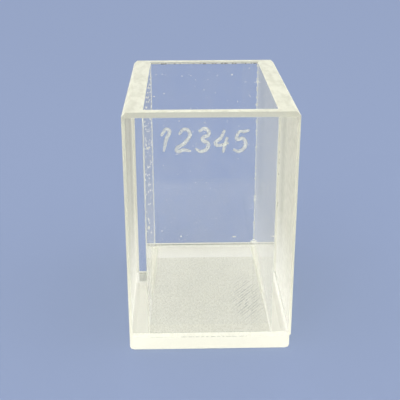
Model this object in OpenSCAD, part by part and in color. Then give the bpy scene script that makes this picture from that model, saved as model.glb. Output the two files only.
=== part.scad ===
// Open rectangular glass cell for measuring light through a liquid.
// Five ground and polished glass plates are fused along their edges:
// two thin windows, two thicker side walls and a base plate under all four.
// X runs across the windows, Y runs along the light path and Z is up.
// The origin is the middle of the underside.

/* [Hollow] */
// Light path, from the inner face of one window to the other
light_path = 30; // [5:1:50]
// Clear width between the two side walls
clear_width = 18.2; // [8:0.2:30]
// Depth of the hollow, from the rim down to the floor
hollow_depth = 34.1; // [15:0.1:50]

/* [Plates] */
// Thickness of each clear window
window_thickness = 2; // [1.5:0.1:4]
// Thickness of each side wall
wall_thickness = 2.85; // [2:0.05:5]
// Thickness of the base plate
base_thickness = 2.4; // [2:0.1:5]
// How far the base plate stops short of the right wall's outer face
base_setback = 0.2; // [0:0.05:0.3]

/* [Ground edges] */
// Bevel round the outside of the open rim
rim_bevel = 0.55; // [0.2:0.05:0.8]
// Bevel round the inside of the open rim
mouth_bevel = 0.15; // [0.05:0.05:0.4]
// Bevel along the four upright edges
upright_bevel = 0.4; // [0.1:0.05:0.8]
// Bevel round the underside
foot_bevel = 0.6; // [0.2:0.05:0.9]

/* [Colours] */
// Tint of the polished windows
window_colour = "#9fb0d0"; // ["#9fb0d0", "#c5d2e6", "#dfe6ea"]
// Tint of the walls and the base, which are ground outside
ground_colour = "#dfe2d6"; // ["#dfe2d6", "#eef0e8", "#c9ccc0"]
// See-through share of the glass, from clear to solid
glass_opacity = 0.45; // [0.2:0.05:1]

/* [Hidden] */

cell_width = clear_width + 2 * wall_thickness;
cell_length = light_path + 2 * window_thickness;
cell_height = base_thickness + hollow_depth;
// Room that a tool body leaves past the faces it cuts
spare = 1;

// A rectangle centred on the Y axis and standing on the X axis, with its two
// lower corners cut by foot and its two upper corners by rim, at 45 degrees.
module cut_profile(width, height, foot, rim) {
    half = width / 2;
    polygon([
        [-half + foot, 0], [half - foot, 0],
        [half, foot], [half, height - rim],
        [half - rim, height], [-half + rim, height],
        [-half, height - rim], [-half, foot]
    ]);
}

// The outside of the finished cell, as it is ground after fusing: the plan,
// the front profile and the side profile meet in one body.
module ground_block(width, x_shift = 0) {
    translate([x_shift, 0, 0])
        intersection() {
            translate([0, -cell_length / 2, 0])
                linear_extrude(height = cell_height)
                    cut_profile(width, cell_length, upright_bevel, upright_bevel);
            rotate([90, 0, 0])
                linear_extrude(height = cell_length + 2 * spare, center = true)
                    cut_profile(width, cell_height, foot_bevel, rim_bevel);
            rotate([90, 0, 90])
                linear_extrude(height = width + 2 * spare, center = true)
                    cut_profile(cell_length, cell_height, foot_bevel, rim_bevel);
        }
}

// The space above the base plate between two depths, full width.
module upright_slab(from_y, to_y, from_x, to_x) {
    translate([from_x, from_y, base_thickness])
        cube([to_x - from_x, to_y - from_y, hollow_depth + spare]);
}

// A section of the mouth, which widens at 45 degrees on both sides.
module flare_profile(width) {
    half = width / 2;
    rise = mouth_bevel + spare;
    polygon([[-half, 0], [half, 0], [half + rise, rise], [-half - rise, rise]]);
}

// The flare that bevels the mouth of the hollow: its two sections meet in one
// body, which reaches from the bevel's lower edge to above the rim.
module mouth_flare() {
    translate([0, 0, cell_height - mouth_bevel])
        intersection() {
            rotate([90, 0, 0])
                linear_extrude(height = cell_length + 2 * spare, center = true)
                    flare_profile(clear_width);
            rotate([90, 0, 90])
                linear_extrude(height = cell_width + 2 * spare, center = true)
                    flare_profile(light_path);
        }
}

// A clear plate across one end of the light path; side is -1 in front, 1 behind.
module window(side) {
    color(window_colour, glass_opacity)
        difference() {
            intersection() {
                ground_block(cell_width);
                scale([1, side, 1])
                    upright_slab(light_path / 2, cell_length / 2 + spare,
                                 -cell_width / 2 - spare, cell_width / 2 + spare);
            }
            mouth_flare();
        }
}

// A thicker plate between the windows; side is -1 on the left, 1 on the right.
module side_wall(side) {
    color(ground_colour, glass_opacity)
        difference() {
            intersection() {
                ground_block(cell_width);
                scale([side, 1, 1])
                    upright_slab(-light_path / 2, light_path / 2,
                                 clear_width / 2, cell_width / 2 + spare);
            }
            mouth_flare();
        }
}

module front_window() {
    window(-1);
}

module back_window() {
    window(1);
}

module left_wall() {
    side_wall(-1);
}

module right_wall() {
    side_wall(1);
}

// The plate that the other four stand on. It is cut a little narrower, which
// leaves a small step under the right wall.
module base_plate() {
    color(ground_colour, glass_opacity)
        intersection() {
            ground_block(cell_width - base_setback, -base_setback / 2);
            translate([-cell_width, -cell_length, -spare])
                cube([2 * cell_width, 2 * cell_length, base_thickness + spare]);
        }
}

front_window();
back_window();
left_wall();
right_wall();
base_plate();
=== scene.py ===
"""Looks of an open rectangular glass cell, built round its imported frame.

Five plates of glass are fused into one open box. Each plate is rebuilt here with its own
polished, ground and fused faces, and the small marks of making and of use are pieces of
their own: the beads in the inner corners, the lines of the joints, the dust and chips, and
the scribed number. Lengths are in millimetres unless a comment says otherwise, and the cell
stands on Z = 0 with its windows at the front (-Y) and the back.
"""

import logging
import math
import random
from dataclasses import dataclass, field
from enum import Enum

import bmesh
import bpy
from mathutils import Matrix, Vector

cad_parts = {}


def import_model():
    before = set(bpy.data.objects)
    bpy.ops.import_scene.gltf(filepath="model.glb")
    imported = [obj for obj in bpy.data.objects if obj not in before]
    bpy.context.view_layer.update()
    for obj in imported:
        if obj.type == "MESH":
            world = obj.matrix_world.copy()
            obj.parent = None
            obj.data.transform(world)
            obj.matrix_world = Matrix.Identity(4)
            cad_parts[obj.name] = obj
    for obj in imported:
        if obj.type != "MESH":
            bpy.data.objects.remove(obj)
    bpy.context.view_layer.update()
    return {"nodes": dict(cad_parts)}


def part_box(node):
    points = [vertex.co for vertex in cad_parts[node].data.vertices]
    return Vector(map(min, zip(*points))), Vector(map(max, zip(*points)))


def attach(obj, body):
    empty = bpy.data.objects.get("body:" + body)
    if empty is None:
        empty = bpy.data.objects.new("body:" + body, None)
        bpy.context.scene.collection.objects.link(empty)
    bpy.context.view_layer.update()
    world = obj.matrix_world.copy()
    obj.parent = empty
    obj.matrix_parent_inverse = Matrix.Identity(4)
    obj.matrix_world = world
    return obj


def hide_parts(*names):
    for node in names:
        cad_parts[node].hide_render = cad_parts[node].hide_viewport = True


MM = 0.001  # one millimetre in metres
BODY = "root"
OFF_FACE = 0.004  # how far small marks stand off the glass, so that faces never share a plane
Colour = tuple[float, float, float, float]
log = logging.getLogger("glass_cell")


class Surface(Enum):
    """How a face of a plate is finished; the value is its material index."""

    POLISHED = 0
    RIM = 1
    SIDE = 2
    BEVEL = 3
    EDGE = 4
    FOOT = 5
    FOOT_BORDER = 6
    BASE_BACK = 7
    FUSED = 8


def new_material(name: str) -> tuple[bpy.types.Material, bpy.types.NodeTree]:
    """Return a fresh node material and its tree, emptied of nodes.

    Args:
        name: Name of the material.

    Returns:
        The material and its node tree.
    """
    material = bpy.data.materials.new(name)
    material.use_nodes = True
    material.node_tree.nodes.clear()
    return material, material.node_tree


def wire(tree: bpy.types.NodeTree, node: bpy.types.Node, inputs: dict[str | int, object]) -> None:
    """Set or link the inputs of a node.

    Args:
        tree: The node tree.
        node: The node.
        inputs: A value to set, or a socket to link from, for each input.
    """
    for key, value in inputs.items():
        if isinstance(value, bpy.types.NodeSocket):
            tree.links.new(value, node.inputs[key])
        else:
            node.inputs[key].default_value = value


def add_node(tree: bpy.types.NodeTree, kind: str,
             inputs: dict[str | int, object] | None = None) -> bpy.types.Node:
    """Add a node to a tree.

    Args:
        tree: The node tree.
        kind: Type of the node, without the word ShaderNode before it.
        inputs: A value to set, or a socket to link from, for each input.

    Returns:
        The new node.
    """
    node = tree.nodes.new("ShaderNode" + kind)
    wire(tree, node, inputs or {})
    return node


def here(tree: bpy.types.NodeTree) -> bpy.types.NodeSocket:
    """Return the socket that carries a point's own place on the piece, in metres."""
    return add_node(tree, "TexCoord").outputs["Object"]


def finish_material(tree: bpy.types.NodeTree, shader: bpy.types.Node) -> None:
    """Join the last shader of a tree to the material's output.

    Args:
        tree: The node tree.
        shader: The shader node whose first output is the surface.
    """
    add_node(tree, "OutputMaterial", {"Surface": shader.outputs[0]})


def mix_shaders(tree: bpy.types.NodeTree, first: bpy.types.Node, second: bpy.types.Node) -> bpy.types.Node:
    """Return a mix of two shaders, whose factor is left to the caller.

    Args:
        tree: The node tree.
        first: The shader at factor 0.
        second: The shader at factor 1.

    Returns:
        The mix node.
    """
    return add_node(tree, "MixShader", {1: first.outputs[0], 2: second.outputs[0]})


@dataclass(frozen=True)
class Grain:
    """Spots or streaks on a surface: their size in millimetres along each axis."""

    size: tuple[float, float, float] = (0.3, 0.3, 0.3)
    detail: float = 3.0
    turn: float = 0.0

    def noise(self, tree: bpy.types.NodeTree) -> bpy.types.NodeSocket:
        """Add the noise to a tree.

        Args:
            tree: The node tree.

        Returns:
            The socket that carries the noise, from 0 to 1.
        """
        turned = add_node(tree, "Mapping", {"Vector": here(tree), "Rotation": (0.0, 0.0, self.turn)})
        scale = tuple(1 / (MM * size) for size in self.size)
        scaled = add_node(tree, "Mapping", {"Vector": turned.outputs["Vector"], "Scale": scale})
        spots = {"Vector": scaled.outputs["Vector"], "Scale": 1.0, "Detail": self.detail}
        return add_node(tree, "TexNoise", spots).outputs["Fac"]


def ramp(tree: bpy.types.NodeTree, source: bpy.types.NodeSocket, low: float, high: float,
         dark: Colour, light: Colour) -> bpy.types.NodeSocket:
    """Turn a value into a colour that runs from dark to light.

    Args:
        tree: The node tree.
        source: The socket that carries the value.
        low: Value at which the colour is dark.
        high: Value at which the colour is light.
        dark: Colour at the low value.
        light: Colour at the high value.

    Returns:
        The socket that carries the colour.
    """
    node = add_node(tree, "ValToRGB", {"Fac": source})
    first, last = node.color_ramp.elements
    first.position, first.color = low, dark
    last.position, last.color = high, light
    return node.outputs["Color"]


def spread(tree: bpy.types.NodeTree, source: bpy.types.NodeSocket, low: float, high: float,
           least: float, most: float) -> bpy.types.NodeSocket:
    """Stretch a value from one range to another and keep it within that.

    Args:
        tree: The node tree.
        source: The socket that carries the value.
        low: Value that becomes the least.
        high: Value that becomes the most.
        least: Result at the low value.
        most: Result at the high value.

    Returns:
        The socket that carries the result.
    """
    ends = {"From Min": low, "From Max": high, "To Min": least, "To Max": most}
    return add_node(tree, "MapRange", {"Value": source, **ends}).outputs["Result"]


def product(tree: bpy.types.NodeTree, first: bpy.types.NodeSocket,
            second: bpy.types.NodeSocket) -> bpy.types.NodeSocket:
    """Multiply two values.

    Args:
        tree: The node tree.
        first: The socket of one value.
        second: The socket of the other.

    Returns:
        The socket that carries the product.
    """
    node = add_node(tree, "Math", {0: first, 1: second})
    node.operation = "MULTIPLY"
    return node.outputs["Value"]


def distance(tree: bpy.types.NodeTree, axis: str, place: float) -> bpy.types.NodeSocket:
    """Measure how far a point lies from a plane across one axis, on either side.

    Args:
        tree: The node tree.
        axis: The axis, X, Y or Z.
        place: Where the plane crosses it, in metres.

    Returns:
        The socket that carries the distance in metres.
    """
    split = add_node(tree, "SeparateXYZ", {"Vector": here(tree)})
    away = add_node(tree, "Math", {0: split.outputs[axis], 1: place})
    away.operation = "SUBTRACT"
    size = add_node(tree, "Math", {0: away.outputs["Value"]})
    size.operation = "ABSOLUTE"
    return size.outputs["Value"]


@dataclass(frozen=True)
class Scratches:
    """A patch of fine parallel scratches on a level face, in millimetres."""

    middle: tuple[float, float] = (6.4, -3.2)
    reach: tuple[float, float] = (3.2, 9.8)
    turn: float = math.radians(54)
    spacing: float = 0.5
    breaks: tuple[float, float, float] = (1.2, 0.5, 1.0)
    waver: float = 1.2
    waver_detail: float = 2.0
    waver_scale: float = 0.6
    dark: Colour = (0.38, 0.40, 0.39, 1.0)

    def over(self, tree: bpy.types.NodeTree, tint: bpy.types.NodeSocket) -> bpy.types.NodeSocket:
        """Draw the scratches over a tint.

        Args:
            tree: The node tree.
            tint: The socket that carries the tint.

        Returns:
            The socket that carries the scratched tint.
        """
        (x, y), (wide, long) = self.middle, self.reach
        centred = add_node(tree, "Mapping", {
            "Vector": here(tree),
            "Location": (-x / wide, -y / long, 0.0),
            "Scale": (1 / (MM * wide), 1 / (MM * long), 0.0),
        })
        away = add_node(tree, "VectorMath", {0: centred.outputs["Vector"]})
        away.operation = "LENGTH"
        patch = spread(tree, away.outputs["Value"], 0.3, 1.0, 1.0, 0.0)
        gaps = Grain(self.breaks, detail=1.0, turn=-self.turn).noise(tree)
        broken = spread(tree, gaps, 0.4, 0.55, 0.0, 1.0)
        depth = product(tree, product(tree, patch, self.lines(tree)), broken)
        blend = add_node(tree, "Mix")
        blend.data_type = "RGBA"
        wire(tree, blend, {"Factor": depth, "A": tint, "B": self.dark})
        return blend.outputs["Result"]

    def lines(self, tree: bpy.types.NodeTree) -> bpy.types.NodeSocket:
        """Rule fine lines side by side, a little unsteady.

        Args:
            tree: The node tree.

        Returns:
            The socket that is 1 on a line and 0 between lines.
        """
        turned = add_node(tree, "Mapping", {
            "Vector": here(tree), "Rotation": (0.0, 0.0, -self.turn), "Scale": (1 / MM, 1 / MM, 1 / MM),
        })
        ruled = add_node(tree, "TexWave", {
            "Vector": turned.outputs["Vector"],
            "Scale": math.tau / 20 / self.spacing,  # the wave repeats every tau / 20 at scale 1
            "Distortion": self.waver,
            "Detail": self.waver_detail,
            "Detail Scale": self.waver_scale,
        })
        ruled.bands_direction = "Y"
        return spread(tree, ruled.outputs["Fac"], 0.6, 0.95, 0.0, 1.0)


@dataclass(frozen=True)
class PolishedGlass:
    """Clear optical glass with a polished face and a breath of dust on it."""

    name: str = "polished_glass"
    colour: Colour = (1.0, 1.0, 1.0, 1.0)
    dust_colour: Colour = (0.9, 0.9, 0.88, 1.0)
    ior: float = 1.5
    dust: float = 0.03
    smears: Grain = Grain((2.5, 2.5, 4.0))

    def material(self) -> bpy.types.Material:
        """Return the node material."""
        material, tree = new_material(self.name)
        glass = add_node(tree, "BsdfPrincipled", {
            "Base Color": self.colour, "Roughness": 0.0, "IOR": self.ior, "Transmission Weight": 1.0,
        })
        mix = mix_shaders(tree, glass, add_node(tree, "BsdfDiffuse", {"Color": self.dust_colour}))
        wire(tree, mix, {"Fac": spread(tree, self.smears.noise(tree), 0.4, 0.75, 0.0, self.dust)})
        finish_material(tree, mix)
        return material


@dataclass(frozen=True)
class GroundGlass:
    """Glass ground white with loose abrasive.

    The ground skin scatters light back (diffuse) and through (translucent), and lets a
    share of it pass as rough glass does. dim, top_dim, left_dim and band are shading
    painted into the colour, so they stay the same under any light.
    """

    name: str
    colour: Colour = (1.0, 0.997, 0.93, 1.0)
    shade: Colour = (0.93, 0.925, 0.85, 1.0)
    roughness: float = 0.6
    clear_share: float = 0.3
    out_through: float = 0.4
    in_through: float = 0.4
    ior: float = 1.5
    grain: Grain = Grain()
    low: float = 0.3
    high: float = 0.7
    bump: float = 0.006
    dim: Colour = (1.0, 1.0, 1.0, 1.0)
    dim_from: float = 3.0
    dim_to: float = 16.0
    top_dim: Colour | None = None
    top_dim_from: float = 16.0
    top_dim_to: float = 34.0
    left_dim: Colour | None = None
    left_edge: float = -12.0
    left_reach: float = 4.0
    left_low: float = 6.0
    band: Colour | None = None
    band_middle: float = 8.5
    band_core: float = 1.0
    band_reach: float = 5.0
    scratches: Scratches | None = None

    def dimmed(self, tree: bpy.types.NodeTree, tint: bpy.types.NodeSocket) -> bpy.types.NodeSocket:
        """Paint the shading into a tint: by height, near the left wall's outside, and in a band.

        Args:
            tree: The node tree.
            tint: The socket that carries the tint.

        Returns:
            The socket that carries the dimmed tint.
        """
        rise = spread(tree, distance(tree, "Z", 0.0), self.dim_from * MM, self.dim_to * MM, 0.0, 1.0)
        tint = self.shaded(tree, tint, rise, self.dim)
        if self.top_dim:
            high = spread(
                tree, distance(tree, "Z", 0.0), self.top_dim_from * MM, self.top_dim_to * MM, 0.0, 1.0
            )
            tint = self.shaded(tree, tint, high, self.top_dim)
        if self.left_dim:
            off = distance(tree, "X", self.left_edge * MM)
            side = spread(tree, off, self.left_reach * MM / 2, self.left_reach * MM, 1.0, 0.0)
            up = spread(tree, distance(tree, "Z", 0.0), self.left_low * MM, self.top_dim_to * MM, 0.0, 1.0)
            tint = self.shaded(tree, tint, product(tree, side, up), self.left_dim)
        if self.band:
            away = distance(tree, "Y", self.band_middle * MM)
            near = spread(tree, away, self.band_core * MM, self.band_reach * MM, 1.0, 0.0)
            tint = self.shaded(tree, tint, product(tree, near, rise), self.band)
        return tint

    def shaded(self, tree: bpy.types.NodeTree, tint: bpy.types.NodeSocket, amount: bpy.types.NodeSocket,
               shade: Colour) -> bpy.types.NodeSocket:
        """Multiply a tint by a shade.

        Args:
            tree: The node tree.
            tint: The socket that carries the tint.
            amount: The socket that is 1 where the shade is full and 0 where there is none.
            shade: The colour to multiply by.

        Returns:
            The socket that carries the shaded tint.
        """
        node = add_node(tree, "Mix")
        node.data_type = "RGBA"
        node.blend_type = "MULTIPLY"
        wire(tree, node, {"Factor": amount, "A": tint, "B": shade})
        return node.outputs["Result"]

    def material(self) -> bpy.types.Material:
        """Return the node material."""
        material, tree = new_material(self.name)
        noise = self.grain.noise(tree)
        tint = self.dimmed(tree, ramp(tree, noise, self.low, self.high, self.shade, self.colour))
        if self.scratches:
            tint = self.scratches.over(tree, tint)
        bump = add_node(tree, "Bump", {"Height": noise, "Strength": 1.0, "Distance": self.bump * MM})
        normal = bump.outputs["Normal"]
        clear = add_node(tree, "BsdfPrincipled", {
            "Base Color": self.colour, "Roughness": self.roughness, "IOR": self.ior,
            "Transmission Weight": 1.0, "Normal": normal,
        })
        clear.distribution = "MULTI_GGX"
        back = add_node(tree, "BsdfDiffuse", {"Color": tint, "Normal": normal})
        through = add_node(tree, "BsdfTranslucent", {"Color": tint, "Normal": normal})
        skin = mix_shaders(tree, back, through)
        from_inside = add_node(tree, "NewGeometry").outputs["Backfacing"]
        wire(tree, skin, {"Fac": spread(tree, from_inside, 0.0, 1.0, self.out_through, self.in_through)})
        mix = mix_shaders(tree, skin, clear)
        wire(tree, mix, {"Fac": self.clear_share})
        finish_material(tree, mix)
        return material


@dataclass(frozen=True)
class FusedJoint:
    """The face where two plates are fused: light goes straight through it."""

    name: str = "fused_joint"

    def material(self) -> bpy.types.Material:
        """Return the node material."""
        material, tree = new_material(self.name)
        finish_material(tree, add_node(tree, "BsdfTransparent"))
        return material


@dataclass(frozen=True)
class Frost:
    """A thin frosted skin that hides what is behind it by a varying share.

    soft_from and soft_to, measured from the middle of the width, fade it out inwards, and
    fade_back is the back end of a skin that covers less toward the front.
    """

    name: str
    colour: Colour = (0.93, 0.94, 0.9, 1.0)
    thin: float = 0.3
    thick: float = 0.7
    through: float = 0.5
    grain: Grain = Grain((0.25, 0.25, 0.5))
    soft_from: float | None = None
    soft_to: float | None = None
    fade_back: float | None = None
    fade_from: float = 7.0
    fade_to: float = 26.0
    fade_left: float = 0.25

    def material(self) -> bpy.types.Material:
        """Return the node material."""
        material, tree = new_material(self.name)
        back = add_node(tree, "BsdfDiffuse", {"Color": self.colour})
        through = add_node(tree, "BsdfTranslucent", {"Color": self.colour})
        skin = mix_shaders(tree, back, through)
        wire(tree, skin, {"Fac": self.through})
        mix = mix_shaders(tree, add_node(tree, "BsdfTransparent"), skin)
        cover = spread(tree, self.grain.noise(tree), 0.35, 0.65, self.thin, self.thick)
        if self.soft_from is not None:
            inner, outer = self.soft_from * MM, self.soft_to * MM
            cover = product(tree, cover, spread(tree, distance(tree, "X", 0.0), inner, outer, 0.0, 1.0))
        if self.fade_back is not None:
            forward = distance(tree, "Y", self.fade_back * MM)
            left = spread(tree, forward, self.fade_from * MM, self.fade_to * MM, 1.0, self.fade_left)
            cover = product(tree, cover, left)
        wire(tree, mix, {"Fac": cover})
        finish_material(tree, mix)
        return material


@dataclass(frozen=True)
class CellSizes:
    """Sizes of the cell in millimetres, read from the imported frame."""

    half_width: float
    half_length: float
    height: float
    half_clear: float
    half_path: float
    base: float
    base_right: float
    rim_bevel: float
    upright_bevel: float
    foot_bevel: float

    @classmethod
    def from_frame(cls, nodes: dict[str, bpy.types.Object]) -> "CellSizes":
        """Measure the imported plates.

        Args:
            nodes: The frame's objects by node name.

        Returns:
            The cell's sizes.
        """
        window_low, window_high = (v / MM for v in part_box("back_window"))
        wall_low, wall_high = (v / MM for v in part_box("right_wall"))
        base_low, base_high = (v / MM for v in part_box("base_plate"))
        wall_points = [v.co / MM for v in nodes["right_wall"].data.vertices]
        window_points = [v.co / MM for v in nodes["back_window"].data.vertices]
        base_points = [v.co / MM for v in nodes["base_plate"].data.vertices]
        slack = 0.001  # points within this of a face lie on it
        rim = max(p.z for p in wall_points if p.x > wall_high.x - slack)
        upright = max(p.x for p in window_points if p.y > window_high.y - slack)
        foot = min(p.z for p in base_points if p.x < base_low.x + slack)
        return cls(
            half_width=window_high.x,
            half_length=window_high.y,
            height=window_high.z,
            half_clear=wall_low.x,
            half_path=window_low.y,
            base=base_high.z,
            base_right=base_high.x,
            rim_bevel=wall_high.z - rim,
            upright_bevel=window_high.x - upright,
            foot_bevel=foot,
        )

    def bevel_planes(self, right: float) -> list[tuple[Vector, Vector]]:
        """List the planes that bevel the outside of the block.

        Args:
            right: Where the block ends on its right side.

        Returns:
            A point and an outward normal for each plane.
        """
        left, front, back = -self.half_width, -self.half_length, self.half_length
        planes = []
        for x, side in ((left, -1), (right, 1)):
            for y, end in ((front, -1), (back, 1)):
                point = Vector((x, y - end * self.upright_bevel, 0))
                planes.append((point, Vector((side, end, 0))))
        for z, up, cut in ((0, -1, self.foot_bevel), (self.height, 1, self.rim_bevel)):
            for x, side in ((left, -1), (right, 1)):
                planes.append((Vector((x - side * cut, 0, z)), Vector((side, 0, up))))
            for y, end in ((front, -1), (back, 1)):
                planes.append((Vector((0, y - end * cut, z)), Vector((0, end, up))))
        return planes


def bisect(shape: bmesh.types.BMesh, point: Vector, normal: Vector, clear: bool) -> list[bmesh.types.BMEdge]:
    """Divide a solid along a plane.

    Args:
        shape: The solid to divide.
        point: A point on the plane.
        normal: Normal of the plane.
        clear: Whether what lies on the normal's side is taken away.

    Returns:
        The edges along the plane.
    """
    everything = shape.verts[:] + shape.edges[:] + shape.faces[:]
    cut = bmesh.ops.bisect_plane(
        shape, geom=everything, dist=1e-5, plane_co=point, plane_no=normal, clear_outer=clear
    )
    return [e for e in cut["geom_cut"] if isinstance(e, bmesh.types.BMEdge)]


def shave(shape: bmesh.types.BMesh, point: Vector, normal: Vector) -> None:
    """Cut off what lies outside a plane and close the cut.

    Args:
        shape: The closed solid to cut.
        point: A point on the plane.
        normal: Outward normal of the plane.
    """
    border = [e for e in bisect(shape, point, normal, clear=True) if e.is_boundary]
    if border:
        bmesh.ops.contextual_create(shape, geom=border)


def score(shape: bmesh.types.BMesh, point: Vector, normal: Vector) -> None:
    """Divide the faces of a solid along a plane and leave them in place."""
    bisect(shape, point, normal, clear=False)


def add_box(shape: bmesh.types.BMesh, low: Vector, high: Vector) -> None:
    """Add a box between two corners.

    Args:
        shape: The shape in millimetres that takes the box.
        low: The corner with the least of each axis.
        high: The opposite corner.
    """
    made = bmesh.ops.create_cube(shape, size=1)
    bmesh.ops.scale(shape, vec=high - low, verts=made["verts"])
    bmesh.ops.translate(shape, vec=(high + low) / 2, verts=made["verts"])


def as_object(shape: bmesh.types.BMesh, name: str) -> bpy.types.Object:
    """Turn a shape in millimetres into an object in metres.

    Args:
        shape: The shape, which is freed.
        name: Name of the piece.

    Returns:
        The new object, at the origin.
    """
    bmesh.ops.scale(shape, vec=(MM, MM, MM), verts=shape.verts)
    mesh = bpy.data.meshes.new(name)
    shape.to_mesh(mesh)
    shape.free()
    piece = bpy.data.objects.new(name, mesh)
    bpy.context.scene.collection.objects.link(piece)
    return piece


def small_piece(shape: bmesh.types.BMesh, name: str, material: bpy.types.Material) -> bpy.types.Object:
    """Dress a small mark and put it on the cell.

    Args:
        shape: The mark's closed shape in millimetres, which is freed.
        name: Name of the piece.
        material: Its finish.

    Returns:
        The finished piece.
    """
    bmesh.ops.recalc_face_normals(shape, faces=shape.faces)
    piece = as_object(shape, name)
    piece.data.materials.append(material)
    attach(piece, BODY)
    log.info("%s: %d faces", name, len(piece.data.polygons))
    return piece


@dataclass
class Plate:
    """One glass plate of the cell."""

    node: str
    slot: str
    low: Vector
    high: Vector
    right: float
    sizes: CellSizes
    edge_round: float = 0.06
    mouth_bevel: float = 0.15
    chip_pitch: float = 0.25
    chip_small: float = 0.03
    chip_large: float = 0.12
    chip_chance: float = 0.12
    foot_band: float = 2.8
    slack: float = 0.002
    seed: int = 1

    def shape(self) -> bmesh.types.BMesh:
        """Return the bevelled plate as a closed shape in millimetres."""
        shape = bmesh.new()
        add_box(shape, self.low, self.high)
        for point, normal in self.sizes.bevel_planes(self.right):
            shave(shape, point, normal)
        bmesh.ops.recalc_face_normals(shape, faces=shape.faces)
        self.soften(shape)
        s = self.sizes
        for x in (-s.half_clear, s.half_clear, s.base_right):
            score(shape, Vector((x, 0, 0)), Vector((1, 0, 0)))
        for y in (-s.half_path, s.half_path):
            score(shape, Vector((0, y, 0)), Vector((0, 1, 0)))
        # Divide the underside where its whiter border of painted light begins behind the cavity.
        if self.low.z < s.base / 2:
            score(shape, Vector((0, s.half_path - self.foot_band, 0)), Vector((0, 1, 0)))
        self.open_mouth(shape)
        bmesh.ops.recalc_face_normals(shape, faces=shape.faces)
        for face in shape.faces:
            face.material_index = self.surface(face).value
        return shape

    def in_joint(self, face: bmesh.types.BMFace) -> bool:
        """Say whether a face lies in a plane where plates meet."""
        s = self.sizes
        c = face.calc_center_median()
        n = face.normal
        return (
            (abs(n.z) > 0.5 and abs(c.z - s.base) < self.slack)
            or (abs(n.y) > 0.5 and abs(abs(c.y) - s.half_path) < self.slack)
            or (abs(n.x) > 0.5 and abs(abs(c.x) - s.half_clear) < self.slack)
        )

    def soften(self, shape: bmesh.types.BMesh) -> None:
        """Round the outer edges by a hair."""
        edges = [e for e in shape.edges if not any(self.in_joint(f) for f in e.link_faces)]
        bmesh.ops.bevel(
            shape, geom=edges, offset=self.edge_round, segments=2, affect="EDGES", profile=0.5, material=-1
        )

    def is_lip(self, edge: bmesh.types.BMEdge) -> bool:
        """Say whether an edge is an inner edge of the rim."""
        s = self.sizes
        ends = [v.co for v in edge.verts]
        middle = (ends[0] + ends[1]) / 2
        if min(p.z for p in ends) < s.height - self.slack:
            return False
        if "window" in self.node:
            on_lip = all(abs(abs(p.y) - s.half_path) < self.slack for p in ends)
            return on_lip and abs(middle.x) < s.half_clear
        on_lip = all(abs(abs(p.x) - s.half_clear) < self.slack for p in ends)
        return on_lip and abs(middle.y) < s.half_path

    def open_mouth(self, shape: bmesh.types.BMesh) -> None:
        """Bevel the inner edge of the rim and leave it nibbled, as hand grinding does."""
        lip = [e for e in shape.edges if self.is_lip(e)]
        if not lip:
            return
        cut = bmesh.ops.bevel(
            shape, geom=lip, offset=self.mouth_bevel, segments=1, affect="EDGES", profile=0.5, material=-1
        )
        if "window" in self.node:
            self.mitre(shape)
        rails = []
        for face in cut["faces"]:
            rails += [e for e in face.edges if e.calc_length() > self.mouth_bevel * 3 and e not in rails]
        cuts = int(max(e.calc_length() for e in rails) / self.chip_pitch)
        made = bmesh.ops.subdivide_edges(shape, edges=rails, cuts=cuts, use_grid_fill=True)
        self.nibble([v for v in made["geom_inner"] if isinstance(v, bmesh.types.BMVert)])

    def mitre(self, shape: bmesh.types.BMesh) -> None:
        """Carry the walls' mouth bevel on into a window's corners."""
        s = self.sizes
        for point in shape.verts:
            x, y, z = point.co
            near_lip = abs(abs(y) - s.half_path) < self.mouth_bevel + self.slack
            if z > s.height - self.slack and near_lip and abs(abs(x) - s.half_clear) < self.slack:
                point.co.x += math.copysign(self.mouth_bevel, x)

    def nibble(self, points: list[bmesh.types.BMVert]) -> None:
        """Move the points of the bevel's two rails by uneven amounts.

        Args:
            points: The points along both rails.
        """
        s = self.sizes
        dice = random.Random(self.seed)
        for point in sorted(points, key=lambda v: (round(v.co.z, 3), round(v.co.x, 3), round(v.co.y, 3))):
            bite = dice.uniform(0, self.chip_small)
            if dice.random() < self.chip_chance:
                bite += dice.uniform(0, self.chip_large)
            if point.co.z < s.height - self.slack:
                point.co.z -= bite
            elif "window" in self.node:
                point.co.y += math.copysign(bite, point.co.y)
            else:
                point.co.x += math.copysign(bite, point.co.x)

    def surface(self, face: bmesh.types.BMFace) -> Surface:
        """Say how a face is finished, from where it is and which way it looks."""
        s = self.sizes
        c = face.calc_center_median()
        n = face.normal
        inside_x = abs(c.x) < s.half_clear
        inside_y = abs(c.y) < s.half_path
        # The underside has two finishes: a whiter border, which is painted light, and a darker part under
        # the cavity.
        if n.z < -0.3 and c.z < s.base / 2:
            under_cavity = inside_x and -s.half_path < c.y < s.half_path - self.foot_band
            return Surface.FOOT if under_cavity else Surface.FOOT_BORDER
        if max(abs(n.x), abs(n.y), abs(n.z)) < 1 - self.slack:
            return self.bevel_surface(face)
        if abs(n.z) > 0.5 and abs(c.z - s.base) < self.slack:
            if inside_x and inside_y:
                return Surface.POLISHED
            return Surface.FUSED if c.x < s.base_right else Surface.FOOT_BORDER
        if abs(n.y) > 0.5 and abs(abs(c.y) - s.half_path) < self.slack and c.z > s.base:
            return Surface.POLISHED if inside_x else Surface.FUSED
        if abs(n.y) > 0.5 and abs(abs(c.y) - s.half_length) < self.slack and c.z > s.base:
            return Surface.POLISHED
        if abs(n.x) > 0.5 and abs(abs(c.x) - s.half_clear) < self.slack:
            return Surface.POLISHED
        if abs(n.x) > 0.5 and c.z > s.base:
            return Surface.SIDE if inside_y else Surface.BEVEL
        # The base's back face has its own, darker finish: painted shade.
        if n.y > 0.5 and c.z < s.base:
            return Surface.BASE_BACK
        return Surface.RIM if n.z > 0.5 else Surface.EDGE

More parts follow.
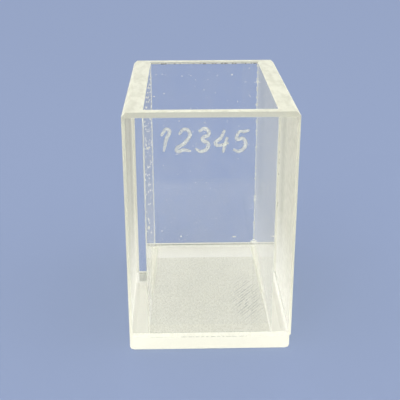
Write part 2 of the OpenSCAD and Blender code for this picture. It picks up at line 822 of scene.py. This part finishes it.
    def bevel_surface(self, face: bmesh.types.BMFace) -> Surface:
        """Say how a slanted face is finished: the side bevels of the rim are ground like the rim."""
        n = face.normal
        if face.calc_center_median().z < self.sizes.base:
            return Surface.EDGE
        if n.z > 0.3 and (abs(n.x) > abs(n.y) or n.z > 0.85):
            return Surface.RIM
        return Surface.BEVEL

    def build(self, materials: list[bpy.types.Material]) -> bpy.types.Object:
        """Make the plate, dress it and put it on the frame.

        Args:
            materials: The materials in the order of Surface.

        Returns:
            The finished piece.
        """
        piece = as_object(self.shape(), self.node + "_glass")
        for material in materials:
            piece.data.materials.append(material)
        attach(piece, BODY)
        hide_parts(self.node)
        log.info("%s: %d faces", piece.name, len(piece.data.polygons))
        return piece


@dataclass
class GlassCell:
    """The five fused plates."""

    sizes: CellSizes

    def plates(self) -> list[Plate]:
        """List the plates with their places."""
        s = self.sizes
        w, l, h = s.half_width, s.half_length, s.height
        return [
            Plate("front_window", "window_glass", Vector((-w, -l, s.base)),
                  Vector((w, -s.half_path, h)), w, s, chip_large=0.05, seed=3),
            Plate("back_window", "window_glass", Vector((-w, s.half_path, s.base)),
                  Vector((w, l, h)), w, s, chip_chance=0.25, seed=5),
            Plate("left_wall", "ground_glass", Vector((-w, -s.half_path, s.base)),
                  Vector((-s.half_clear, s.half_path, h)), w, s, seed=7),
            Plate("right_wall", "ground_glass", Vector((s.half_clear, -s.half_path, s.base)),
                  Vector((w, s.half_path, h)), w, s, seed=11),
            Plate("base_plate", "ground_glass", Vector((-w, -l, 0)), Vector((s.base_right, l, s.base)),
                  s.base_right, s),
        ]

    def finishes(self) -> list[bpy.types.Material]:
        """Return the materials in the order of Surface."""
        return [
            PolishedGlass().material(),
            GroundGlass("ground_rim", clear_share=0.1, colour=(1.0, 1.0, 0.90, 1.0),
                        shade=(0.86, 0.86, 0.76, 1.0), out_through=0.3, low=0.36, high=0.6,
                        grain=Grain((0.9, 2.4, 0.9), detail=6.0)).material(),
            # Painted shade: the outer side faces grow darker towards the top, near the left wall's outside
            # and in a band.
            GroundGlass("ground_side", in_through=0.9, colour=(1.0, 1.0, 0.96, 1.0),
                        shade=(0.87, 0.87, 0.83, 1.0), low=0.38, high=0.6,
                        grain=Grain((1.5, 2.4, 0.8), detail=6.0), dim=(0.67, 0.67, 0.61, 1.0),
                        top_dim=(0.87, 0.87, 0.86, 1.0), left_dim=(0.74, 0.74, 0.75, 1.0),
                        band=(0.84, 0.84, 0.82, 1.0)).material(),
            # Painted shade: the bevels grow darker towards the top, and more at the rim's chamfer.
            GroundGlass("ground_bevel", colour=(1.0, 1.0, 0.93, 1.0),
                        shade=(0.92, 0.92, 0.86, 1.0), dim=(0.80, 0.80, 0.75, 1.0),
                        top_dim=(0.82, 0.82, 0.82, 1.0), top_dim_from=34.6, top_dim_to=36.0).material(),
            GroundGlass("ground_edge", clear_share=0.1, in_through=1.0, colour=(0.96, 0.96, 0.92, 1.0),
                        shade=(0.94, 0.94, 0.90, 1.0)).material(),
            # Painted shade: the underside under the cavity is a darker copy of the border's finish below;
            # its grain and scratches are its own.
            GroundGlass("ground_foot", clear_share=0.1, in_through=0.0, colour=(0.93, 0.93, 0.88, 1.0),
                        shade=(0.75, 0.75, 0.69, 1.0), low=0.38, high=0.6,
                        grain=Grain((0.25, 0.6, 0.3), detail=4.0), scratches=Scratches()).material(),
            # Painted light: the underside's border, under the walls and the back window, is a whiter copy of
            # the same ground finish.
            GroundGlass("ground_foot_border", clear_share=0.0, in_through=0.0, colour=(1.0, 1.0, 1.0, 1.0),
                        shade=(0.99, 0.99, 0.98, 1.0)).material(),
            # Painted shade: the base's back face gets a darker copy of the ground finish.
            GroundGlass("ground_back_painted_shade", in_through=0.2, colour=(0.80, 0.80, 0.71, 1.0),
                        shade=(0.68, 0.68, 0.59, 1.0)).material(),
            FusedJoint().material(),
        ]

    def build(self) -> list[bpy.types.Object]:
        """Build every plate and return the pieces."""
        materials = self.finishes()
        return [plate.build(materials) for plate in self.plates()]


@dataclass
class CornerBead:
    """A thin bead of glass drawn along an inner corner of the cell."""

    start: Vector
    end: Vector
    first_leg: Vector
    second_leg: Vector
    leg: float = 0.2
    outline: tuple[tuple[float, float], ...] = ((0.0, 0.0), (1.0, 0.0), (0.3, 0.3), (0.0, 1.0))
    pitch: float = 0.4
    wobble: float = 0.1
    drop_chance: float = 0.05
    drop: float = 1.6
    gap: float = 0.004
    taper: float = 1.0
    seed: int = 1

    def add_to(self, shape: bmesh.types.BMesh) -> None:
        """Draw the bead into a shape.

        Args:
            shape: The shape in millimetres that takes the bead.
        """
        dice = random.Random(self.seed)
        away = (self.first_leg + self.second_leg) * self.gap
        corner = self.start + away
        profile = [corner + (self.first_leg * u + self.second_leg * v) * self.leg for u, v in self.outline]
        face = shape.faces.new([shape.verts.new(point) for point in profile])
        count = max(2, int((self.end - self.start).length / self.pitch))
        step = (self.end - self.start) / count
        size = 1.0
        for index in range(1, count + 1):
            moved = bmesh.ops.extrude_face_region(shape, geom=[face])
            face = next(g for g in moved["geom"] if isinstance(g, bmesh.types.BMFace))
            bmesh.ops.translate(shape, vec=step, verts=face.verts)
            target = (1 + dice.uniform(-self.wobble, self.wobble)) * (1 + (self.taper - 1) * index / count)
            if dice.random() < self.drop_chance:
                target *= self.drop
            place = Matrix.Translation(-(corner + step * index))
            bmesh.ops.scale(shape, vec=Vector((1, 1, 1)) * (target / size), space=place, verts=face.verts)
            size = target


@dataclass
class Beads:
    """The beads in all the inner corners of the cell, with the streaks of painted light along the floor's
    sides and the line of painted shade along its front.
    """

    sizes: CellSizes
    dress: "Dressing"
    back_leg: float = 0.2
    streak_leg: float = 0.8
    left_end: float = -5.0
    left_taper: float = 0.1
    right_taper: float = 0.3
    shadow_leg: float = 0.06
    flat: tuple[tuple[float, float], ...] = ((0.0, 0.0), (1.0, 0.0), (1.0, 0.03), (0.0, 0.03))

    def uprights(self) -> bmesh.types.BMesh:
        """Return the beads in the four upright corners."""
        s = self.sizes
        shape = bmesh.new()
        top = s.height - s.rim_bevel / 2
        traits = (
            (-1, -1, {"leg": 0.2, "pitch": 0.9, "wobble": 0.05, "drop_chance": 0.0, "gap": -0.12}),
            (1, -1, {"leg": 0.05}),
            (-1, 1, {"leg": 0.07, "pitch": 0.25, "wobble": 0.3, "drop_chance": 0.3}),
            (1, 1, {"leg": 0.045, "pitch": 0.22, "wobble": 0.2, "drop_chance": 0.22, "drop": 4.4}),
        )
        for index, (side, end, trait) in enumerate(traits):
            foot = Vector((side * s.half_clear, end * s.half_path, s.base))
            head = Vector((side * s.half_clear, end * s.half_path, top))
            along, across = Vector((-side, 0, 0)), Vector((0, -end, 0))
            CornerBead(foot, head, along, across, seed=20 + index, **trait).add_to(shape)
        return shape

    def floor_edges(self) -> bmesh.types.BMesh:
        """Return the streaks of painted light along the sides of the floor."""
        s = self.sizes
        shape = bmesh.new()
        x, y = s.half_clear, s.half_path
        up, left, right = Vector((0, 0, 1)), Vector((-1, 0, 0)), Vector((1, 0, 0))
        runs = (
            (Vector((x, y, s.base)), Vector((x, -y, s.base)), left, self.right_taper),
            (Vector((-x, y, s.base)), Vector((-x, self.left_end, s.base)), right, self.left_taper),
        )
        for start, end, first, taper in runs:
            CornerBead(start, end, first, up, leg=self.streak_leg, pitch=3.0, wobble=0.03, drop_chance=0.0,
                       outline=self.flat, taper=taper).add_to(shape)
        return shape

    def across_floor(self, end: int, **traits: float) -> bmesh.types.BMesh:
        """Return a bead along the front or the back edge of the floor.

        Args:
            end: -1 for the front edge, 1 for the back edge.
            traits: The bead's own values, as in CornerBead.

        Returns:
            The bead as a shape in millimetres.
        """
        s = self.sizes
        shape = bmesh.new()
        left = Vector((-s.half_clear, end * s.half_path, s.base))
        right = Vector((s.half_clear, end * s.half_path, s.base))
        CornerBead(left, right, Vector((0, -end, 0)), Vector((0, 0, 1)), **traits).add_to(shape)
        return shape

    def back_bead(self) -> bmesh.types.BMesh:
        """Return the white bead along the back edge of the floor."""
        return self.across_floor(1, leg=self.back_leg, pitch=0.5, wobble=0.12, drop_chance=0.02, seed=30)

    def front_line(self) -> bmesh.types.BMesh:
        """Return the fine dark line of painted shade along the front edge of the floor."""
        return self.across_floor(-1, leg=self.shadow_leg, seed=40)

    def build(self) -> list[bpy.types.Object]:
        """Build all the beads and return the pieces."""
        return [
            small_piece(self.uprights(), "upright_beads", self.dress.bead),
            small_piece(self.floor_edges(), "floor_painted_light_streaks", self.dress.streak),
            small_piece(self.back_bead(), "back_floor_bead", self.dress.white),
            small_piece(self.front_line(), "front_floor_line", self.dress.shade),
        ]


@dataclass
class Seams:
    """What shows of the fused joints at their outer ends, and a line of painted shade below the back one:
    thin lines inside the glass.
    """

    sizes: CellSizes
    dress: "Dressing"
    thin: float = 0.04
    upright_width: float = 0.08
    foot_band: float = 0.73
    back_low: float = 0.1
    back_high: float = 0.18
    back_shade: float = 0.2
    back_gap: float = 0.45
    dash_high: float = 0.05
    dash_from: float = -4.3
    dash_to: float = 5.6
    dash_long: tuple[float, float] = (0.12, 0.9)
    dash_gap: tuple[float, float] = (0.06, 0.4)
    upright_foot: float = 0.2

    def back_line(self) -> bmesh.types.BMesh:
        """Return the white line where the back window stands on the base."""
        s = self.sizes
        shape = bmesh.new()
        y = s.half_length - self.thin
        x = s.half_width - s.upright_bevel - self.thin
        add_box(shape, Vector((-x, y - self.thin, s.base - self.back_low)),
                Vector((s.base_right - s.upright_bevel - self.thin, y, s.base + self.back_high)))
        return shape

    def front_foot(self) -> bmesh.types.BMesh:
        """Return the white band along the foot of the front window, just inside the glass."""
        s = self.sizes
        shape = bmesh.new()
        x = s.half_width - s.upright_bevel - self.thin
        front = -s.half_length + 2 * self.thin
        add_box(shape, Vector((-x, front, s.base + self.thin / 2)),
                Vector((x, front + self.thin / 2, s.base + self.foot_band)))
        return shape

    def dark_lines(self) -> bmesh.types.BMesh:
        """Return the grey lines: an upright joint, a line of painted shade below the back line, and dashes
        at the front.
        """
        s = self.sizes
        shape = bmesh.new()
        dice = random.Random(6)
        left, joint = -s.half_width, -s.half_path
        add_box(shape, Vector((left + self.thin, joint - self.thin / 2, s.base + self.upright_foot)),
                Vector((left + self.upright_width, joint + self.thin / 2, s.height - s.rim_bevel)))
        # Painted shade: a grey bar just below the white back line.
        side = s.half_width - s.upright_bevel - self.thin
        back = s.half_length - self.back_gap
        add_box(shape, Vector((-side, back - self.back_shade, s.base - self.thin / 2)),
                Vector((s.base_right - s.upright_bevel - self.thin, back, s.base + self.thin / 2)))
        front = -s.half_length + self.thin
        x = self.dash_from
        while x < self.dash_to:
            long = dice.uniform(*self.dash_long)
            add_box(shape, Vector((x, front, s.base - self.dash_high / 2)),
                    Vector((x + long, front + self.thin, s.base + self.dash_high / 2)))
            x += long + dice.uniform(*self.dash_gap)
        return shape

    def build(self) -> list[bpy.types.Object]:
        """Build the seams and return the pieces."""
        return [
            small_piece(self.back_line(), "back_seam", self.dress.band),
            small_piece(self.front_foot(), "front_foot_band", self.dress.band),
            small_piece(self.dark_lines(), "joint_seams_and_painted_shade", self.dress.shade),
        ]


class Wall(Enum):
    """An inner face of the cavity; the value is the level way it looks."""

    BACK = (0, -1)
    LEFT = (1, 0)
    RIGHT = (-1, 0)
    FLOOR = (0, 0)


@dataclass(frozen=True)
class Fleck:
    """A speck on an inner face: its place along and up (or into) the face, its size and how long it is."""

    wall: Wall
    along: float
    height: float
    size: float = 0.07
    stretch: float = 1.0


@dataclass
class Dust:
    """The specks that cling to the inside of the cell, and the chips of its mouth."""

    sizes: CellSizes
    dress: "Dressing"
    flatness: float = 0.3
    scattered: int = 110
    thinning: float = 9.0
    fine: tuple[float, float] = (0.03, 0.06)
    coarse: tuple[float, float] = (0.04, 0.11)
    drawn_out: tuple[float, float] = (1.0, 3.0)
    chips: int = 34
    chip_long: tuple[float, float] = (0.06, 0.3)
    chip_high: tuple[float, float] = (0.05, 0.17)
    chip_deep: float = 0.08
    chip_below: float = 0.3
    corner_chip: tuple[float, float, float] = (0.07, 0.03, 0.1)
    corner_chips: tuple[float, ...] = (30.6, 29.5, 29.0, 27.4, 23.1, 22.7)
    bold: float = 1.35
    flecks: tuple[Fleck, ...] = (
        Fleck(Wall.BACK, -7.74, 5.6, 0.08),
        Fleck(Wall.BACK, -4.27, 4.5, 0.11),
        Fleck(Wall.BACK, 5.47, 4.3, 0.1, 3.2),
        Fleck(Wall.BACK, -3.8, 34.1, 0.06),
        Fleck(Wall.BACK, -6.91, 31.1, 0.07),
        Fleck(Wall.BACK, -8.64, 30.6, 0.09),
        Fleck(Wall.BACK, 4.73, 34.3, 0.09),
        Fleck(Wall.BACK, -0.05, 31.7, 0.06),
        Fleck(Wall.BACK, -4.39, 26.4, 0.07),
        Fleck(Wall.LEFT, -5.53, 28.2, 0.16),
        Fleck(Wall.LEFT, -7.2, 16.1, 0.2, 2.0),
        Fleck(Wall.LEFT, -5.6, 16.6, 0.1, 2.5),
        Fleck(Wall.LEFT, -2.3, 21.2, 0.09, 6.0),
        Fleck(Wall.LEFT, -4.6, 20.9, 0.09, 3.0),
        Fleck(Wall.BACK, 9.0, 3.67, 0.12),
        Fleck(Wall.BACK, 8.7, 3.35, 0.13, 1.5),
        Fleck(Wall.BACK, 8.95, 3.3, 0.1),
        Fleck(Wall.RIGHT, 14.4, 3.4, 0.13, 2.0),
        Fleck(Wall.RIGHT, -14.8, 14.3, 0.16),
        Fleck(Wall.RIGHT, -14.8, 12.9, 0.12),
        Fleck(Wall.RIGHT, -14.8, 12.5, 0.15),
        Fleck(Wall.LEFT, -6.22, 3.12, 0.08),
        Fleck(Wall.FLOOR, -8.52, -1.93, 0.08),
        Fleck(Wall.FLOOR, -7.68, -6.26, 0.09),
        Fleck(Wall.FLOOR, -4.51, -12.76, 0.1),
        Fleck(Wall.FLOOR, 1.63, -1.17, 0.08, 1.6),
        Fleck(Wall.FLOOR, 3.98, -2.06, 0.08, 1.6),
        Fleck(Wall.FLOOR, 5.74, 7.45, 0.08, 2.0),
    )

    def blob(self, shape: bmesh.types.BMesh, place: Vector, size: Vector) -> None:
        """Add one small round speck.

        Args:
            shape: The shape in millimetres that takes the speck.
            place: Its middle.
            size: Its radius along each axis.
        """
        made = bmesh.ops.create_icosphere(shape, subdivisions=1, radius=1.0)
        bmesh.ops.scale(shape, vec=size, verts=made["verts"])
        bmesh.ops.translate(shape, vec=place, verts=made["verts"])

    def lay(self, shape: bmesh.types.BMesh, fleck: Fleck) -> None:
        """Lay a fleck on its inner face."""
        s = self.sizes
        out = Vector((*fleck.wall.value, 0))
        high = fleck.size * self.bold
        deep, wide = high * self.flatness, high * fleck.stretch
        if fleck.wall is Wall.FLOOR:
            place, size = Vector((fleck.along, fleck.height, s.base + deep)), Vector((wide, 2 * high, deep))
        elif fleck.wall is Wall.BACK:
            place, size = Vector((fleck.along, s.half_path, fleck.height)), Vector((wide, deep, high))
        else:
            place = Vector((-out.x * s.half_clear, fleck.along, fleck.height))
            size = Vector((deep, wide, high))
        self.blob(shape, place + out * (deep + OFF_FACE), size)

    def specks(self) -> bmesh.types.BMesh:
        """Return the light specks: the large ones in their places and a scatter of fine ones."""
        s = self.sizes
        shape = bmesh.new()
        dice = random.Random(8)
        for fleck in self.flecks:
            self.lay(shape, fleck)
        for _ in range(self.scattered):
            along = dice.uniform(-s.half_clear + 0.3, s.half_clear - 0.3)
            high = dice.uniform(s.base + 1, s.height - 1)
            self.lay(shape, Fleck(Wall.BACK, along, high, dice.uniform(*self.fine)))
        for _ in range(self.scattered):
            high = s.height - 1.2 - abs(dice.gauss(0, self.thinning))
            if high > s.base + 1:
                along = dice.uniform(-s.half_path + 1, s.half_path - 0.5)
                size, stretch = dice.uniform(*self.coarse), dice.uniform(*self.drawn_out)
                self.lay(shape, Fleck(Wall.LEFT, along, high, size, stretch))
        return shape

    def pits(self) -> bmesh.types.BMesh:
        """Return the dark chips along the back of the mouth and down the front right corner."""
        s = self.sizes
        shape = bmesh.new()
        dice = random.Random(9)
        for _ in range(self.chips):
            x = dice.uniform(-s.half_clear + 0.4, s.half_clear - 0.4)
            size = Vector((dice.uniform(*self.chip_long), self.chip_deep, dice.uniform(*self.chip_high)))
            self.blob(shape, Vector((x, s.half_path + 0.02, s.height - self.chip_below)), size)
        for z in self.corner_chips:
            self.blob(shape, Vector((s.half_clear + 0.25, -s.half_path, z)), Vector(self.corner_chip))
        return shape

    def build(self) -> list[bpy.types.Object]:
        """Build the specks and the pits and return the pieces."""
        return [
            small_piece(self.specks(), "dust_specks", self.dress.white),
            small_piece(self.pits(), "mouth_chips", self.dress.shade),
        ]


@dataclass(frozen=True)
class Dressing:
    """The thin finishes that the small marks share."""

    bead: bpy.types.Material
    streak: bpy.types.Material
    white: bpy.types.Material
    band: bpy.types.Material
    shade: bpy.types.Material

    @classmethod
    def make(cls) -> "Dressing":
        """Make the finishes."""
        return cls(
            bead=Frost("frosted_bead", thin=0.35, thick=0.6, grain=Grain((0.5, 0.5, 2.5))).material(),
            # Painted light: the streaks along the sides of the floor.
            streak=Frost("floor_streak", colour=(1.0, 1.0, 0.92, 1.0), thin=0.4, thick=0.5,
                         grain=Grain((0.5, 4.0, 0.5)), soft_from=8.3, soft_to=8.8,
                         fade_back=15.0).material(),
            white=Frost("white_speck", colour=(1.0, 1.0, 0.97, 1.0), thin=0.85, thick=1.0,
                        through=0.6).material(),
            band=Frost("white_foot", colour=(1.0, 1.0, 0.97, 1.0), thin=0.9, thick=1.0,
                       through=0.1).material(),
            # Grey for the mouth's chips and the joint lines, and for the lines of painted shade.
            shade=Frost("dark_line_and_painted_shade", colour=(0.36, 0.37, 0.37, 1.0), thin=0.3, thick=0.8,
                        grain=Grain((0.3, 0.3, 0.6))).material(),
        )


@dataclass
class ScribedNumber:
    """Plain numbers scribed by hand on the front window."""

    sizes: CellSizes
    height: float = 3.1
    pitch: float = 2.55
    slant: float = 0.12
    stroke: float = 0.5
    start_radius: float = 0.7
    end_radius: float = 0.6
    depth: float = 0.03
    left: float = -7.3
    foot: float = 31.2
    strokes: dict[str, list[list[tuple[float, float]]]] = field(default_factory=lambda: {
        "1": [[(0.1, 0.72), (0.38, 1.0), (0.34, 0.5), (0.3, 0.0)]],
        "2": [[(0.05, 0.76), (0.25, 0.98), (0.5, 0.82), (0.36, 0.42), (0.04, 0.03), (0.32, 0.07),
               (0.64, 0.02)]],
        "3": [[(0.06, 0.88), (0.32, 1.0), (0.5, 0.78), (0.26, 0.55), (0.54, 0.3), (0.3, 0.0), (0.0, 0.12)]],
        "4": [[(0.36, 1.0), (0.22, 0.62), (0.03, 0.36), (0.62, 0.38)],
              [(0.52, 0.66), (0.46, 0.3), (0.42, -0.06)]],
        "5": [[(0.16, 0.96), (0.12, 0.58), (0.38, 0.6), (0.54, 0.32), (0.3, 0.0), (0.0, 0.08)],
              [(0.16, 0.96), (0.4, 0.94), (0.62, 1.0)]],
    })

    def line(self, points: list[tuple[float, float]], across: float, size: float) -> bpy.types.Mesh:
        """Return one stroke as a flat closed bead, in millimetres.

        Args:
            points: The stroke's points, in digit heights.
            across: Where the digit starts, in millimetres.
            size: Height of the digit, in millimetres.

        Returns:
            The stroke's mesh.
        """
        curve = bpy.data.curves.new("stroke", "CURVE")
        curve.dimensions = "3D"
        curve.bevel_depth = self.stroke / 2
        curve.bevel_resolution = 2
        curve.use_fill_caps = True
        spline = curve.splines.new("BEZIER")
        spline.bezier_points.add(len(points) - 1)
        for knot, (u, v) in zip(spline.bezier_points, points):
            knot.co = (across + (u + self.slant * v) * size, 0.0, self.foot + v * size)
            knot.handle_left_type = knot.handle_right_type = "AUTO"
        spline.bezier_points[0].radius = self.start_radius
        spline.bezier_points[-1].radius = self.end_radius
        holder = bpy.data.objects.new("stroke", curve)
        mesh = bpy.data.meshes.new_from_object(holder)
        bpy.data.objects.remove(holder)
        bpy.data.curves.remove(curve)
        return mesh

    def build(self) -> bpy.types.Object:
        """Build the number and return the piece."""
        whole = bmesh.new()
        dice = random.Random(12)
        for index, digit in enumerate("12345"):
            size = self.height * (1 + dice.uniform(-0.06, 0.06))
            for points in self.strokes[digit]:
                mesh = self.line(points, self.left + index * self.pitch, size)
                whole.from_mesh(mesh)
                bpy.data.meshes.remove(mesh)
        bmesh.ops.scale(whole, vec=(1, self.depth / self.stroke, 1), verts=whole.verts)
        front = -self.sizes.half_length + self.depth / 2 + OFF_FACE
        bmesh.ops.translate(whole, vec=(0, front, 0), verts=whole.verts)
        frost = Frost("scribed_frost", thin=0.2, thick=0.55, grain=Grain((0.2, 0.2, 0.2)))
        return small_piece(whole, "scribed_number", frost.material())


@dataclass(frozen=True)
class Lamp:
    """A flat lamp: where it hangs and its width and height in metres, and its power in watts."""

    name: str
    place: tuple[float, float, float]
    size: tuple[float, float]
    power: float


@dataclass(frozen=True)
class Camera:
    """The camera: its place and lens in millimetres, and its angles in degrees."""

    place: tuple[float, float, float] = (-3.935, -117.205, 64.481)
    pitch: float = 21.899
    yaw: float = 1.376
    roll: float = -0.082
    lens: float = 70.789
    sensor: float = 36.0
    nearest: float = 5.0
    farthest: float = 20000.0


@dataclass(frozen=True)
class Studio:
    """Plain light blue floor, soft light and the camera.

    The floor has two colours. Seen directly, through glass or in a reflection it has
    floor_colour. Where it lights a ground or dusty face it has floor_bounce, which is nearly
    white, so the cell gets more light from below than the floor that is seen would give it.
    """

    floor_colour: Colour = (0.30, 0.37, 0.58, 1.0)
    floor_bounce: Colour = (0.88, 0.87, 0.82, 1.0)
    light_colour: Colour = (1.0, 0.995, 0.95, 1.0)
    sky_strength: float = 0.92
    floor_radius: float = 3.0  # metres
    floor_drop: float = 0.00004  # metres
    aim: tuple[float, float, float] = (0.0, 0.0, 0.02)  # metres
    view: Camera = Camera()
    lamps: tuple[Lamp, ...] = (
        Lamp("top_lamp", (-0.12, -0.45, 0.35), (0.4, 0.4), 0.4),
        Lamp("back_lamp", (0.0, 0.9, 0.6), (1.2, 0.8), 1.0),
        Lamp("front_lamp", (-0.05, -0.45, 0.07), (0.5, 0.1), 0.35),
        Lamp("left_lamp", (-0.4, -0.12, 0.07), (0.5, 0.1), 0.2),
        Lamp("right_lamp", (0.4, -0.12, 0.07), (0.5, 0.1), 0.35),
    )

    def floor(self) -> None:
        """Lay the floor just under the cell, with its two colours."""
        shape = bmesh.new()
        bmesh.ops.create_circle(shape, cap_ends=True, radius=self.floor_radius, segments=64)
        mesh = bpy.data.meshes.new("floor")
        bmesh.ops.translate(shape, vec=(0, 0, -self.floor_drop), verts=shape.verts)
        shape.to_mesh(mesh)
        shape.free()
        floor = bpy.data.objects.new("floor", mesh)
        bpy.context.scene.collection.objects.link(floor)
        material, tree = new_material("floor_paint")
        path = add_node(tree, "LightPath").outputs
        scattered = add_node(tree, "Math", {0: path["Is Diffuse Ray"], 1: path["Diffuse Depth"]})
        scattered.operation = "ADD"
        scattered.use_clamp = True
        seen = add_node(tree, "BsdfDiffuse", {"Color": self.floor_colour})
        mix = mix_shaders(tree, seen, add_node(tree, "BsdfDiffuse", {"Color": self.floor_bounce}))
        wire(tree, mix, {"Fac": scattered.outputs["Value"]})
        finish_material(tree, mix)
        mesh.materials.append(material)

    def sky(self) -> None:
        """Set the soft light from all round."""
        world = bpy.data.worlds.new("sky")
        world.use_nodes = True
        background = world.node_tree.nodes["Background"]
        background.inputs["Color"].default_value = self.light_colour
        background.inputs["Strength"].default_value = self.sky_strength
        bpy.context.scene.world = world

    def hang(self, lamp: Lamp) -> None:
        """Hang a lamp so that it looks at the aim."""
        data = bpy.data.lights.new(lamp.name, "AREA")
        data.shape = "RECTANGLE"
        data.size, data.size_y = lamp.size
        data.energy = lamp.power
        data.color = self.light_colour[:3]
        hung = bpy.data.objects.new(lamp.name, data)
        place = Vector(lamp.place)
        turn = (Vector(self.aim) - place).to_track_quat("-Z", "Y").to_matrix().to_4x4()
        hung.matrix_world = Matrix.Translation(place) @ turn
        bpy.context.scene.collection.objects.link(hung)

    def camera(self) -> None:
        """Set the camera."""
        view = self.view
        data = bpy.data.cameras.new("camera")
        data.lens = view.lens
        data.sensor_width = view.sensor
        data.clip_start = view.nearest * MM
        data.clip_end = view.farthest * MM
        camera = bpy.data.objects.new("camera", data)
        camera.matrix_world = (
            Matrix.Translation(Vector(view.place) * MM)
            @ Matrix.Rotation(-math.radians(view.yaw), 4, "Z")
            @ Matrix.Rotation(math.pi / 2 - math.radians(view.pitch), 4, "X")
            @ Matrix.Rotation(math.radians(view.roll), 4, "Z")
        )
        bpy.context.scene.collection.objects.link(camera)
        bpy.context.scene.camera = camera

    def build(self) -> None:
        """Set up floor, light and camera."""
        self.floor()
        self.sky()
        for lamp in self.lamps:
            self.hang(lamp)
        self.camera()
        scene = bpy.context.scene
        scene.view_settings.view_transform = "Standard"
        scene.cycles.max_bounces = 32
        scene.cycles.transmission_bounces = 32
        scene.cycles.glossy_bounces = 32
        scene.cycles.diffuse_bounces = 16
        scene.cycles.transparent_max_bounces = 64
        scene.cycles.blur_glossy = 0.0
        scene.cycles.use_denoising = True


def main() -> None:
    """Build the cell and its studio."""
    logging.basicConfig(level=logging.INFO, format="%(name)s: %(message)s")
    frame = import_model()
    Studio().build()
    sizes = CellSizes.from_frame(frame["nodes"])
    log.info("%s", sizes)
    GlassCell(sizes).build()
    dress = Dressing.make()
    Beads(sizes, dress).build()
    Seams(sizes, dress).build()
    Dust(sizes, dress).build()
    ScribedNumber(sizes).build()


if __name__ == "__main__":
    main()
